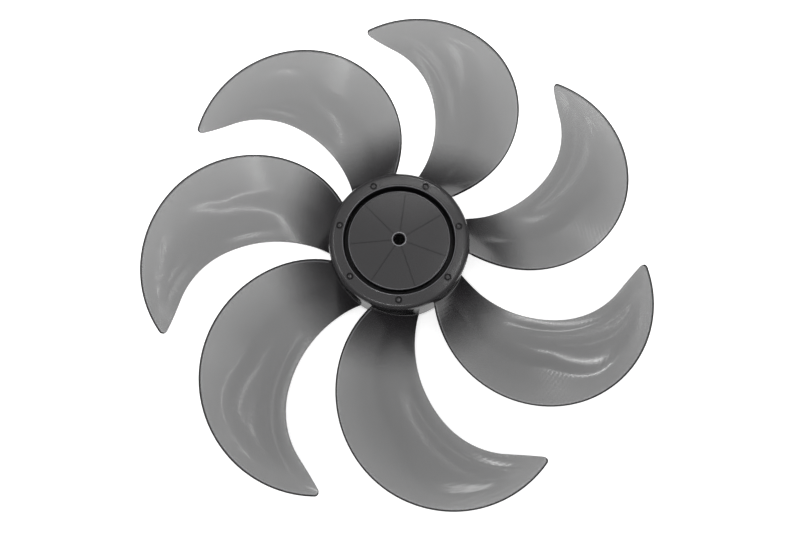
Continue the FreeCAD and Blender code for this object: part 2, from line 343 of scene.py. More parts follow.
        # Painted shade in the hub's groove and gate marks and on its skirt under the rim.
        painted_hub_shade = add_node(tree, "ShaderNodeAttribute", {"attribute_name": "painted_shade"})
        for other in (edge, painted_hub_shade.outputs["Fac"]):
            dark = add_node(tree, "ShaderNodeMath", {"operation": "MAXIMUM"}, {0: dark, 1: other})
        return dark.outputs[0]

    def painted_highlight_lines(self, tree: NodeTree) -> NodeSocket:
        """Finds the painted highlights: on the hub's thin edges, and just inside trailing edges.

        Args:
            tree: The material's tree.

        Returns:
            A number from 0 to 1, 1 in the palest lines.
        """
        # A painted glint just inside each trailing edge.
        trail = add_node(tree, "ShaderNodeAttribute", {"attribute_name": "trail_line"})
        off = add_node(tree, "ShaderNodeMath", {"operation": "SUBTRACT"}, {
            0: trail.outputs["Fac"], 1: self.glint_at})
        away = add_node(tree, "ShaderNodeMath", {"operation": "ABSOLUTE"}, {0: off})
        glint = add_node(tree, "ShaderNodeMapRange", SMOOTH, {
            "Value": away, "From Min": 0.0, "From Max": self.glint_width,
            "To Min": self.glint_strength, "To Max": 0.0})
        # Painted highlights on the collar's edge and on the edges of disc and rim.
        thin = add_node(tree, "ShaderNodeAttribute", {"attribute_name": "painted_edge_highlight"})
        return add_node(tree, "ShaderNodeMath", {"operation": "MAXIMUM"}, {
            0: glint, 1: thin.outputs["Fac"]}).outputs[0]


@dataclass(frozen=True)
class PaperSweep:
    """White photographer's paper, matt, lying flat under the part."""

    paper_hex: str = "#F7F7F7"
    roughness: float = 0.95
    # Clumps of fibre, drawn about 7 mm wide on the 6 m sheet, which is coarser than they are.
    fibre_scale: float = 900.0
    fibre_detail: float = 2.0
    fibre_depth: float = 0.02
    fibre_strength: float = 0.05
    # Strengths of the paper's painted glow at its dim and bright ends.
    near_glow: float = 0.52
    far_glow: float = 1.0
    glow_way: tuple[float, float, float] = (-0.2, 1.0, 0.0)
    glow_reach: float = 150.0

    def material(self, hub: "HubSizes") -> Material:
        """Builds the paper's material, with a painted glow that keeps shadows light, as on a light
        table.

        The painted glow grows along the sheet, so that the blades over its bright end look paler,
        and is left out under the hub's cup as painted shade.

        Args:
            hub: Sizes of the hub, under whose cup the paper has no glow, as painted shade.

        Returns:
            The material.
        """
        made = bpy.data.materials.new("matt_white_paper")
        tree = bare_tree(made)
        fibre = add_node(tree, "ShaderNodeTexNoise", {}, {
            "Scale": self.fibre_scale, "Detail": self.fibre_detail})
        relief = add_node(tree, "ShaderNodeBump", {}, {
            "Strength": self.fibre_strength, "Distance": self.fibre_depth * MM, "Height": fibre})
        place = add_node(tree, "ShaderNodeTexCoord").outputs["Object"]
        # Painted shade: the paper has no glow under the hub's cup.
        lit = add_node(tree, "ShaderNodeMapRange", {}, {
            "Value": from_axis(tree, place), "From Min": (hub.radius - hub.wall) * MM,
            "From Max": (hub.radius + hub.wall) * MM})
        # Painted light: the glow grows brighter along the sheet.
        slide = add_node(tree, "ShaderNodeVectorMath", {"operation": "DOT_PRODUCT"}, {
            0: place, 1: self.glow_way})
        glow = add_node(tree, "ShaderNodeMapRange", SMOOTH, {
            "Value": slide.outputs["Value"], "From Min": -self.glow_reach * MM,
            "From Max": self.glow_reach * MM, "To Min": self.near_glow, "To Max": self.far_glow})
        shine = add_node(tree, "ShaderNodeMath", {"operation": "MULTIPLY"}, {0: lit, 1: glow})
        paper = add_node(tree, "ShaderNodeBsdfPrincipled", {}, {
            "Base Color": linear(self.paper_hex), "Roughness": self.roughness, "Normal": relief,
            "Emission Color": linear(self.paper_hex), "Emission Strength": shine})
        add_node(tree, "ShaderNodeOutputMaterial", {}, {"Surface": paper})
        return made


def polar(radius: float, degrees: float) -> Vector:
    """Point in the plan at a radius and a direction."""
    turn = math.radians(degrees)
    return Vector((radius * math.cos(turn), radius * math.sin(turn)))


@dataclass(frozen=True)
class Stroke:
    """One run of a blade's outline: an arc about a centre, or a straight line where it has none."""

    start: Vector
    end: Vector
    centre: Optional[Vector] = None

    def turn(self) -> float:
        """Signed angle of an arc, in radians."""
        first, last = self.start - self.centre, self.end - self.centre
        return math.atan2(first.x * last.y - first.y * last.x, first.dot(last))

    def length(self) -> float:
        """Length of the run."""
        if self.centre is None:
            return (self.end - self.start).length
        return abs(self.turn()) * (self.start - self.centre).length

    def at(self, share: float) -> Vector:
        """Point a share of the way along.

        Args:
            share: 0 at the start and 1 at the end.

        Returns:
            The point in the plan.
        """
        if self.centre is None:
            return self.start.lerp(self.end, share)
        arm = self.start - self.centre
        turn = self.turn() * share
        return self.centre + Vector((
            arm.x * math.cos(turn) - arm.y * math.sin(turn),
            arm.x * math.sin(turn) + arm.y * math.cos(turn)))


@dataclass(frozen=True)
class Edge:
    """An edge of the blade from root to tip, as strokes that run into each other."""

    strokes: Sequence[Stroke]
    root_part: float = 0.3
    halvings: int = 40

    def at(self, share: float) -> Vector:
        """Point a share of the whole length along.

        Args:
            share: 0 at the root and 1 at the tip.

        Returns:
            The point in the plan.
        """
        left = share * sum(stroke.length() for stroke in self.strokes)
        for stroke in self.strokes:
            if left <= stroke.length():
                return stroke.at(left / stroke.length())
            left -= stroke.length()
        return self.strokes[-1].end.copy()

    def share_at_radius(self, radius: float) -> float:
        """Share of the length at which the edge, still near the root, reaches a radius.

        Args:
            radius: Distance from the shaft's axis.

        Returns:
            The share.
        """
        low, high = 0.0, self.root_part
        for _ in range(self.halvings):
            middle = (low + high) / 2
            low, high = (middle, high) if self.at(middle).length < radius else (low, middle)
        return low


@dataclass(frozen=True)
class HubSizes:
    """Sizes of the hub that its own pieces and the blades share."""

    radius: float = 52.0
    depth: float = 42.0
    wall: float = 2.5
    flare: float = 0.8
    front: float = 22.0
    rim_width: float = 11.0
    groove_width: float = 3.5
    rib_lead: float = 24.0
    blade_count: int = 7
    first_blade_angle: float = 7.1

    @property
    def root_radius(self) -> float:
        """Radius inside the skirt's wall from which blades and ribs start."""
        return self.radius - self.wall / 2

    @property
    def groove_edge(self) -> float:
        """Outer radius of the groove."""
        return self.radius - self.rim_width

    @property
    def disc_radius(self) -> float:
        """Radius of the disc."""
        return self.groove_edge - self.groove_width


@dataclass(frozen=True)
class BladePlan:
    """Sickle outline of a blade in the plan, with the middle of its root at angle 0."""

    hub: HubSizes
    # Held 0.02 mm inside the 195 mm of the solid, whose facets cut inside its round edges.
    sweep_radius: float = 194.98
    trail_tip_arc: float = 86.5
    trail_reach_angle: float = 26.6
    trail_joint_angle: float = -20.8
    trail_root_angle: float = -16.0
    lead_tip_arc: float = 61.3
    lead_centre_radius: float = 121.1
    lead_centre_angle: float = 46.8
    lead_joint_angle: float = -43.5
    lead_straight_angle: float = 3.1
    lead_root_angle: float = 24.5
    tip_round: float = 2.5

    def edges(self) -> tuple[Edge, Edge]:
        """Lays out both edges from root to tip.

        Returns:
            The trailing edge and the leading edge, which meet at the tip.
        """
        trail_centre = polar(self.sweep_radius - self.trail_tip_arc, self.trail_reach_angle)
        lead_centre = polar(self.lead_centre_radius, self.lead_centre_angle)
        trail_root = polar(self.hub.root_radius, self.trail_root_angle)
        lead_root = polar(self.hub.root_radius, self.lead_root_angle)
        trail_joint = trail_centre + polar(self.trail_tip_arc, self.trail_joint_angle)
        lead_joint = lead_centre + polar(self.lead_tip_arc, self.lead_joint_angle)
        outward = polar(1.0, self.lead_straight_angle)
        straight = lead_centre + outward * self.lead_tip_arc
        tip = self.tip_centre(trail_centre, straight, outward)
        trail_end = tip + (tip - trail_centre).normalized() * self.tip_round
        lead_end = tip - outward * self.tip_round
        point = Stroke(trail_end, lead_end, tip).at(0.5)
        trail_bend = self.joined_centre(trail_root, trail_joint, trail_centre)
        lead_bend = self.joined_centre(lead_root, lead_joint, lead_centre)
        trail = Edge((
            Stroke(trail_root, trail_joint, trail_bend),
            Stroke(trail_joint, trail_end, trail_centre),
            Stroke(trail_end, point, tip)))
        lead = Edge((
            Stroke(lead_root, lead_joint, lead_bend),
            Stroke(lead_joint, straight, lead_centre),
            Stroke(straight, lead_end),
            Stroke(lead_end, point, tip)))
        return trail, lead

    def tip_centre(self, trail_centre: Vector, straight: Vector, outward: Vector) -> Vector:
        """Finds the centre of the tip's round, which touches both edges.

        Args:
            trail_centre: Centre of the trailing edge's outer arc.
            straight: Start of the leading edge's straight end.
            outward: Direction square to that straight, towards the trailing edge.

        Returns:
            The centre in the plan.
        """
        along = Vector((-outward.y, outward.x))
        offset = straight + outward * self.tip_round - trail_centre
        reach = self.trail_tip_arc - self.tip_round
        run = along.dot(offset)
        ahead = math.sqrt(run * run - offset.dot(offset) + reach * reach) - run
        return trail_centre + offset + along * ahead

    @staticmethod
    def joined_centre(start: Vector, joint: Vector, centre: Vector) -> Vector:
        """Finds the centre of an arc that runs smoothly into another arc.

        Args:
            start: Where the arc starts.
            joint: Where it runs into the other arc.
            centre: Centre of the other arc.

        Returns:
            The arc's own centre.
        """
        inward = (centre - joint).normalized()
        chord = joint - start
        return joint - inward * (chord.dot(chord) / (2 * inward.dot(chord)))


def bowl(run: float, width: float, crest: float) -> float:
    """Depth at a run past a bowl's edge, 0 to 1 over a width whose first share is its crest."""
    share = min(1.0, max(0.0, run / width))
    return share * share / crest if share < crest else 1 - (1 - share) ** 2 / (1 - crest)


def eased(value: float, low: float, high: float) -> float:
    """Smooth step from 0 at the low value to 1 at the high one."""
    share = min(1.0, max(0.0, (value - low) / (high - low)))
    return share * share * (3 - 2 * share)


@dataclass(frozen=True)
class BladeScoop:
    """Leaf-shaped scoop in a blade, creased on its trailing side, with a lip towards the tip."""

    depth: float = 2.05
    inner_margin: float = 32.5
    outer_margin: float = 11.0
    narrows_from: float = 0.33
    narrows_to: float = 0.62
    tip_share: float = 0.42
    lip_width: float = 9.5
    lip_drop: float = 0.6
    lip_at: float = 0.6
    lip_full: float = 0.2
    lip_reach: float = 0.4
    side_width: float = 15.0
    lip_side_width: float = 15.0
    crest: float = 0.16
    root_full: float = 0.12

    def share(self, out: float, from_trail: float, from_lead: float) -> float:
        """How deep a point lies in the scoop.

        Args:
            out: Share of the way from root to tip.
            from_trail: Distance from the trailing edge.
            from_lead: Distance from the leading edge.

        Returns:
            0 outside the scoop and 1 on its bottom.
        """
        narrow = eased(out, self.narrows_from, self.narrows_to)
        margin = self.inner_margin + (self.outer_margin - self.inner_margin) * narrow
        margin = min(margin, self.tip_share * (from_trail + from_lead))
        lip = 1 - eased(abs(out - self.lip_at), self.lip_full, self.lip_reach)
        past_crease = bowl(from_trail - margin, self.side_width, self.crest)
        inside = bowl(from_lead - self.lip_width, self.lip_side_width, self.crest)
        outside = self.lip_drop * bowl(self.lip_width - from_lead, self.lip_width, self.crest)
        return past_crease * (1 - lip * (1 - inside - outside)) * eased(out, 0.0, self.root_full)


@dataclass(frozen=True)
class BladeTwist:
    """Rule that lifts a blade's flat plan into its twisted, hollowed shape."""

    root_drop: float = 20.8
    tip_drop: float = 12.5
    root_pitch: float = 45.0
    tip_pitch: float = 17.0
    skew_back: float = 35.0
    skew_forward: float = 64.0
    half_chord: float = 18.0
    camber: float = 2.4
    root_thickness: float = 2.6
    tip_thickness: float = 1.8
    root_fillet: float = 1.2
    scoop: BladeScoop = field(default_factory=BladeScoop)

    def half_thickness(self, radius: float, plan: BladePlan) -> float:
        """Half the blade's thickness at a distance from the axis."""
        share = (radius - plan.hub.radius) / (plan.sweep_radius - plan.hub.radius)
        return (self.root_thickness + (self.tip_thickness - self.root_thickness) * share) / 2

    def inputs(self, plan: BladePlan) -> dict[str, float]:
        """Lists the rule's sizes for the node tree, in metres and radians.

        Args:
            plan: The blade's outline, for the radii.

        Returns:
            Numbers by the names of the tree's inputs.
        """
        lengths = {
            "hub radius": plan.hub.radius, "sweep radius": plan.sweep_radius,
            "rim height": plan.hub.front, "root drop": self.root_drop, "tip drop": self.tip_drop,
            "root pitch": self.root_pitch, "tip pitch": self.tip_pitch, "camber": self.camber,
            "root thickness": self.root_thickness, "tip thickness": self.tip_thickness,
            "root fillet": self.root_fillet, "scoop depth": self.scoop.depth}
        angles = {
            "skew back": self.skew_back, "skew forward": self.skew_forward,
            "half chord": self.half_chord}
        numbers = {name: length * MM for name, length in lengths.items()}
        numbers.update({name: math.radians(angle) for name, angle in angles.items()})
        numbers["skirt taper"] = plan.hub.flare / plan.hub.depth
        return numbers

    def tree(self, plan: BladePlan, finish: Material) -> NodeTree:
        """Builds the node tree that lifts the flat plan.

        Args:
            plan: The blade's outline, for the names of the inputs.
            finish: Material of the blade.

        Returns:
            The tree, with one named input for each size.
        """
        names = tuple(self.inputs(plan))
        tree, given = open_tree("lift_blade", dict.fromkeys(names, "Float"))
        position = add_node(tree, "GeometryNodeInputPosition")
        apart = add_node(tree, "ShaderNodeSeparateXYZ", {}, {0: position}).outputs
        reach = add_node(tree, "ShaderNodeVectorMath", {"operation": "LENGTH"}, {0: position})
        found: dict[Any, Any] = {name: given.outputs[name] for name in names}
        found.update({"x": apart["X"], "y": apart["Y"], "radius": reach.outputs["Value"]})
        for name in CARRIED:
            found[name] = add_node(
                tree, "GeometryNodeInputNamedAttribute", {"data_type": "FLOAT"}, {"Name": name})
        for name, operation, *operands in self.steps():
            settings = {"operation": operation, "label": name, "use_clamp": name == "near"}
            found[name] = add_node(tree, "ShaderNodeMath", settings, {
                number: found.get(operand, operand) for number, operand in enumerate(operands)})
        lifted = add_node(tree, "ShaderNodeCombineXYZ", {}, {
            "X": found["x"], "Y": found["y"], "Z": found["lift"]})
        moved = add_node(tree, "GeometryNodeSetPosition", {}, {
            "Geometry": given.outputs["Geometry"], "Position": lifted})
        return close_tree(tree, moved, finish)

    @staticmethod
    def steps() -> tuple[tuple[Any, ...], ...]:
        """Writes the rule as sums, each a name, an operation and what it works on."""
        return (
            # How far out the point lies, and how far ahead of the blade's curved middle line.
            ("bearing", "ARCTAN2", "y", "x"),
            ("beyond hub", "SUBTRACT", "radius", "hub radius"),
            ("span", "SUBTRACT", "sweep radius", "hub radius"),
            ("share", "DIVIDE", "beyond hub", "span"),
            ("lean", "MULTIPLY", "skew forward", "share"),
            ("lean less back", "SUBTRACT", "lean", "skew back"),
            ("middle line", "MULTIPLY", "lean less back", "share"),
            ("turn", "SUBTRACT", "bearing", "middle line"),
            # Height half-way through the blade: drop below the rim, pitch and hollow.
            ("drop change", "SUBTRACT", "tip drop", "root drop"),
            ("drop", "MULTIPLY_ADD", "drop change", "share", "root drop"),
            ("share squared", "MULTIPLY", "share", "share"),
            ("share cubed", "MULTIPLY", "share squared", "share"),
            ("pitch change", "SUBTRACT", "tip pitch", "root pitch"),
            ("pitch", "MULTIPLY_ADD", "pitch change", "share cubed", "root pitch"),
            ("chord share", "DIVIDE", "turn", "half chord"),
            ("chord squared", "MULTIPLY", "chord share", "chord share"),
            ("crown", "SUBTRACT", 1.0, "chord squared"),
            ("hollow", "MULTIPLY", "camber", "crown"),
            ("top", "SUBTRACT", "rim height", "drop"),
            ("climb", "MULTIPLY", "pitch", "turn"),
            ("level", "SUBTRACT", "top", "climb"),
            ("plain height", "SUBTRACT", "level", "hollow"),
            ("scooped out", "MULTIPLY", "scoop", "scoop depth"),
            ("height", "SUBTRACT", "plain height", "scooped out"),
            # Slope round the axis and outwards, which makes an upright cut of the plate deeper.
            ("bow", "DIVIDE", "chord share", "half chord"),
            ("bow rate", "MULTIPLY", "camber", "bow"),
            ("bow rate doubled", "MULTIPLY", "bow rate", 2.0),
            ("rise", "SUBTRACT", "bow rate doubled", "pitch"),
            ("slope round", "DIVIDE", "rise", "radius"),
            ("trend", "ADD", "lean", "lean less back"),
            ("skew slope", "MULTIPLY", "rise", "trend"),
            ("pitch rate", "MULTIPLY", "pitch change", "share squared"),
            ("pitch rate tripled", "MULTIPLY", "pitch rate", 3.0),
            ("untwist", "MULTIPLY_ADD", "pitch rate tripled", "turn", "drop change"),
            ("fall", "ADD", "untwist", "skew slope"),
            ("slope out", "DIVIDE", "fall", "span"),
            ("round squared", "MULTIPLY", "slope round", "slope round"),
            ("both squared", "MULTIPLY_ADD", "slope out", "slope out", "round squared"),
            ("steepness squared", "ADD", "both squared", 1.0),
            ("steepness", "SQRT", "steepness squared"),
            # Thickness, and the fillet where the blade meets the tapered skirt.
            ("thickness change", "SUBTRACT", "tip thickness", "root thickness"),
            ("thickness", "MULTIPLY_ADD", "thickness change", "share", "root thickness"),
            ("half thickness", "MULTIPLY", "thickness", 0.5),
            ("upright half", "MULTIPLY", "half thickness", "steepness"),
            ("below rim", "SUBTRACT", "rim height", "height"),
            ("skirt radius", "MULTIPLY_ADD", "below rim", "skirt taper", "hub radius"),
            ("off skirt", "SUBTRACT", "radius", "skirt radius"),
            ("off skirt share", "DIVIDE", "off skirt", "root fillet"),
            ("near", "SUBTRACT", 1.0, "off skirt share"),
            ("near squared", "MULTIPLY", "near", "near"),
            ("bend", "SUBTRACT", 1.0, "near squared"),
            ("bend root", "SQRT", "bend"),
            ("gain", "SUBTRACT", 1.0, "bend root"),
            ("flared half", "MULTIPLY_ADD", "gain", "root fillet", "upright half"),
            ("lift", "MULTIPLY_ADD", "through", "flared half", "height"),
        )


def open_tree(name: str, kinds: Mapping[str, str]) -> tuple[NodeTree, Node]:
    """Starts a geometry node tree with named inputs.

    Args:
        name: Name of the tree.
        kinds: Whether a number is an Int or a Float, by the names of the inputs.

    Returns:
        The tree and its group input.
    """
    tree = bpy.data.node_groups.new(name, "GeometryNodeTree")
    for way in ("INPUT", "OUTPUT"):
        tree.interface.new_socket("Geometry", in_out=way, socket_type="NodeSocketGeometry")
    for label, kind in kinds.items():
        tree.interface.new_socket(label, in_out="INPUT", socket_type=f"NodeSocket{kind}")
    return tree, add_node(tree, "NodeGroupInput")


def close_tree(tree: NodeTree, shape: Node, finish: Material) -> NodeTree:
    """Ends a geometry node tree in a real mesh with its material.

    Args:
        tree: The tree.
        shape: Node that gives the finished geometry.
        finish: Material of the mesh.

    Returns:
        The same tree.
    """
    joined = add_node(tree, "GeometryNodeRealizeInstances", {}, {"Geometry": shape})
    dressed = add_node(tree, "GeometryNodeSetMaterial", {}, {
        "Geometry": joined, "Material": finish})
    add_node(tree, "NodeGroupOutput", {}, {"Geometry": dressed})
    return tree


def run_tree(piece: Object, tree: NodeTree, numbers: Mapping[str, Any]) -> None:
    """Puts a node tree on an object with its named inputs set.

    Args:
        piece: Object that gets the modifier.
        tree: Geometry node tree.
        numbers: Values by the names of the tree's inputs.
    """
    modifier = piece.modifiers.new(tree.name, "NODES")
    modifier.node_group = tree
    for name, number in numbers.items():
        modifier[tree.interface.items_tree[name].identifier] = number


def ring_of(
    piece: Object, name: str, finish: Material, hub: HubSizes, lead: float = 0.0,
) -> Object:
    """Repeats a shape evenly round the shaft's axis, once for each blade.

    Args:
        piece: Shape at angle 0.
        name: Name of the node tree.
        finish: Material of the copies.
        hub: Sizes of the hub, for the count and the first blade's angle.
        lead: Angle by which the shapes are ahead of the blades.

    Returns:
        The same object, as one plain mesh.
    """
    tree, given = open_tree(name, {"count": "Int", "first angle": "Float"})
    seats = add_node(tree, "GeometryNodePoints", {}, {"Count": given.outputs["count"]})
    step = add_node(tree, "ShaderNodeMath", {"operation": "DIVIDE"}, {
        0: math.tau, 1: given.outputs["count"]})
    number = add_node(tree, "GeometryNodeInputIndex")
    angle = add_node(tree, "ShaderNodeMath", {"operation": "MULTIPLY_ADD"}, {
        0: number, 1: step, 2: given.outputs["first angle"]})
    turn = add_node(tree, "ShaderNodeCombineXYZ", {}, {"Z": angle})
    copies = add_node(tree, "GeometryNodeInstanceOnPoints", {}, {
        "Points": seats, "Instance": given.outputs["Geometry"], "Rotation": turn})
    run_tree(piece, close_tree(tree, copies, finish), {
        "count": hub.blade_count, "first angle": math.radians(hub.first_blade_angle + lead)})
    return bake_modifiers(piece)


@dataclass(frozen=True)
class BladeRing:
    """The blades: one flat shell, lifted by the twist and repeated round the hub."""

    plan: BladePlan
    twist: BladeTwist = field(default_factory=BladeTwist)
    edge_round: float = 0.55
    edge_parts: int = 5
    round_steps: int = 4
    columns: int = 40
    rows: int = 84
    root_rows: tuple[float, ...] = (
        0.0, 0.7, 1.25, 1.5, 1.75, 2.0, 2.3, 2.7, 3.2, 4.0, 5.2, 6.8, 8.6)
    row_nudge: float = 1e-4
    bow_fade: float = 2.5
    crowding: float = 1.6
    line_reach: float = 4.0
    line_points: int = 2400

    def build(self, finish: Material) -> Object:
        """Makes the ring of blades as one plain mesh.

        Args:
            finish: Material of the blades.

        Returns:
            The ring, at its place on the hub.
        """
        piece = mesh_object("blade_ring", self.flat_shell())
        run_tree(piece, self.twist.tree(self.plan, finish), self.twist.inputs(self.plan))
        ring_of(piece, "ring_of_blades", finish, self.plan.hub)
        for name in CARRIED:
            piece.data.attributes.remove(piece.data.attributes[name])
        LOG.info("blade ring: %d blades", self.plan.hub.blade_count)
        return piece

    def mark_trailing_edges(self, mesh: Mesh) -> None:
        """Writes how near each point is to a trailing edge, for the painted shade of the dark line
        there and the painted glint just inside it.

        Args:
            mesh: Joined mesh, whose "trail_line" attribute runs from 0 to 1 on the edge.
        """
        trail, _ = self.plan.edges()
        hub = self.plan.hub
        along = [trail.at(step / self.line_points) * MM for step in range(self.line_points + 1)]
        marks = KDTree(hub.blade_count * len(along))
        for blade in range(hub.blade_count):
            angle = math.radians(hub.first_blade_angle) + math.tau * blade / hub.blade_count
            turn = Matrix.Rotation(angle, 2)
            for step, spot in enumerate(along):
                marks.insert((turn @ spot).to_3d(), blade * len(along) + step)
        marks.balance()
        line = mesh.attributes.new("trail_line", "FLOAT", "POINT")
        for vert in mesh.vertices:
            plan = vert.co.to_2d().to_3d()
            if plan.length > (hub.radius + hub.wall) * MM:
                near = 1 - marks.find(plan)[2] / (self.line_reach * MM)
                line.data[vert.index].value = max(0.0, near)

    def flat_shell(self) -> BMesh:
        """Lays the blade's closed shell flat in the plan.

        Returns:
            The shell, whose "through" attribute runs from -1 at the rear face to 1 at the front,
            and whose "scoop" attribute runs from 0 to 1 at the bottom of the scoop.
        """
        shape = bmesh.new()
        through = shape.verts.layers.float.new(CARRIED[0])
        scoop = shape.verts.layers.float.new(CARRIED[1])
        trail, lead = self.plan.edges()
        loops = []
        for start, end, out in self.row_ends(trail, lead):
            front, rear = [], []
            width = (end - start).length
            bulge = max(0.0, 1 - self.bow_fade * out) ** 2
            for share, depth in self.row_columns(start, end):
                spot = self.row_point(start, end, share, bulge) * MM
                for side, face in ((depth, front), (-depth, rear)):
                    vert = shape.verts.new((spot.x, spot.y, 0.0))
                    vert[through] = side
                    vert[scoop] = self.twist.scoop.share(out, share * width, (1 - share) * width)
                    face.append(vert)
            loops.append(front + rear[::-1])
        size = len(loops[0])
        half = size // 2
        for inner, outer in zip(loops, loops[1:]):
            for at in range(size):
                after = (at + 1) % size
                shape.faces.new((inner[at], inner[after], outer[after], outer[at]))
        root = loops[0]
        for at in range(half - 1):
            shape.faces.new((root[at], root[size - 1 - at], root[size - 2 - at], root[at + 1]))
        point = trail.at(1.0) * MM
        tips = []
        for side in (1.0, -1.0):
            tip = shape.verts.new((point.x, point.y, 0.0))
            tip[through] = side
            tips.append(tip)
        last = loops[-1]
        for at in range(half - 1):
            shape.faces.new((last[at], last[at + 1], tips[0]))
            shape.faces.new((last[half + at], last[half + at + 1], tips[1]))
        shape.faces.new((last[half - 1], last[half], tips[1], tips[0]))
        shape.faces.new((last[size - 1], last[0], tips[0], tips[1]))
        return shape

    def row_ends(self, trail: Edge, lead: Edge) -> list[tuple[Vector, Vector, float]]:
        """Pairs points of the two edges, from the root out to just short of the tip.

        Args:
            trail: Trailing edge.
            lead: Leading edge.

        Returns:
            For each row its ends, and its share of the way from the root's rows to the tip.
        """
        ends = []
        edges = trail, lead
        for step in self.root_rows:
            radius = self.plan.hub.root_radius + step + self.row_nudge
            ends.append((*(edge.at(edge.share_at_radius(radius)) for edge in edges), 0.0))
        last = self.plan.hub.root_radius + self.root_rows[-1]
        starts = [edge.share_at_radius(last) for edge in edges]
        for number in range(1, self.rows):
            out = 1 - (1 - number / self.rows) ** self.crowding
            pair = (edge.at(start + (1 - start) * out) for edge, start in zip(edges, starts))
            ends.append((*pair, out))
        return ends

    def row_columns(self, start: Vector, end: Vector) -> list[tuple[float, float]]:
        """Places the points across a row, closer at the rounded edges.

        Args:
            start: End of the row on the trailing edge.
            end: End of the row on the leading edge.

        Returns:
            For each point its share of the way across, and its depth as a share of half the
            thickness.
        """
        width = (end - start).length
        half = self.twist.half_thickness(((start + end) / 2).length, self.plan)
        ease = min(self.edge_round, width / self.edge_parts)
        rim = []
        for step in range(self.round_steps + 1):
            angle = math.pi / 2 * step / self.round_steps
            across, down = 1 - math.cos(angle), 1 - math.sin(angle)
            rim.append((ease * across / width, 1 - ease / half * down))
        inner = rim[-1][0]
        middle = [
            (inner + (1 - 2 * inner) * (1 - math.cos(math.pi * number / self.columns)) / 2, 1.0)
            for number in range(1, self.columns)]
        return rim + middle + [(1 - share, depth) for share, depth in reversed(rim)]

    @staticmethod
    def row_point(start: Vector, end: Vector, share: float, bulge: float) -> Vector:
        """Point across a row that bows along a circle about the axis near the hub.

        Args:
            start: End of the row on the trailing edge.
            end: End of the row on the leading edge.
            share: Share of the way across.
            bulge: 1 for a row along the circle, 0 for a straight one.

        Returns:
            The point in the plan.
        """
        angles = [math.degrees(math.atan2(point.y, point.x)) for point in (start, end)]
        radius = start.length + (end.length - start.length) * share
        bowed = polar(radius, angles[0] + (angles[1] - angles[0]) * share)
        return start.lerp(end, share).lerp(bowed, bulge)


@dataclass(frozen=True)
class Corner:
    """Corner of a turned outline, with the radius of its rounding."""

    radius: float
    height: float
    round: float = 0.0
    steps: int = 3


def rounded(corners: Sequence[Corner], support: float = 0.5) -> list[Vector]:
    """Rounds the corners of a closed outline, with a support point beside each rounding.

    Args:
        corners: Corners in order.
        support: Distance from a rounding to its support point on a long straight run.

    Returns:
        Points of the outline, as radius and height.
    """
    points = []
    for number, corner in enumerate(corners):
        here = Vector((corner.radius, corner.height))
        before, after = corners[number - 1], corners[(number + 1) % len(corners)]
        back = Vector((before.radius, before.height)) - here
        ahead = Vector((after.radius, after.height)) - here
        if corner.round == 0.0:
            points.append(here)
            continue
        half = back.angle(ahead) / 2
        run = corner.round / math.tan(half)
        long_run = 4 * run + 2 * support
        inward = (back.normalized() + ahead.normalized()).normalized()
        centre = here + inward * (corner.round / math.sin(half))
        bend = Stroke(here + back.normalized() * run, here + ahead.normalized() * run, centre)
        if back.length > long_run:
            points.append(here + back.normalized() * (run + support))
        points.extend(bend.at(step / corner.steps) for step in range(corner.steps + 1))
        if ahead.length > long_run:
            points.append(here + ahead.normalized() * (run + support))
    return points


def turned(name: str, outline: Sequence[Vector], segments: int) -> Object:
    """Turns a closed outline about the axis, closing it where it touches the axis.

    Args:
        name: Name of the object.
        outline: Points as radius and height, in millimetres.
        segments: Steps round the axis.

    Returns:
        The turned solid.
    """
    shape = bmesh.new()
    turns = [math.tau * number / segments for number in range(segments)]
    rings = []
    for point in outline:
        out, up = point.x * MM, point.y * MM
        if point.x < ON_AXIS:
            rings.append([shape.verts.new((0.0, 0.0, up))] * segments)
            continue
        rings.append([
            shape.verts.new((out * math.cos(turn), out * math.sin(turn), up)) for turn in turns])
    for number, ring in enumerate(rings):
        after = rings[(number + 1) % len(rings)]
        for at in range(segments):
            beside = (at + 1) % segments
            loop = dict.fromkeys((ring[at], ring[beside], after[beside], after[at]))
            if len(loop) > 2:
                shape.faces.new(tuple(loop))
    return mesh_object(name, shape)


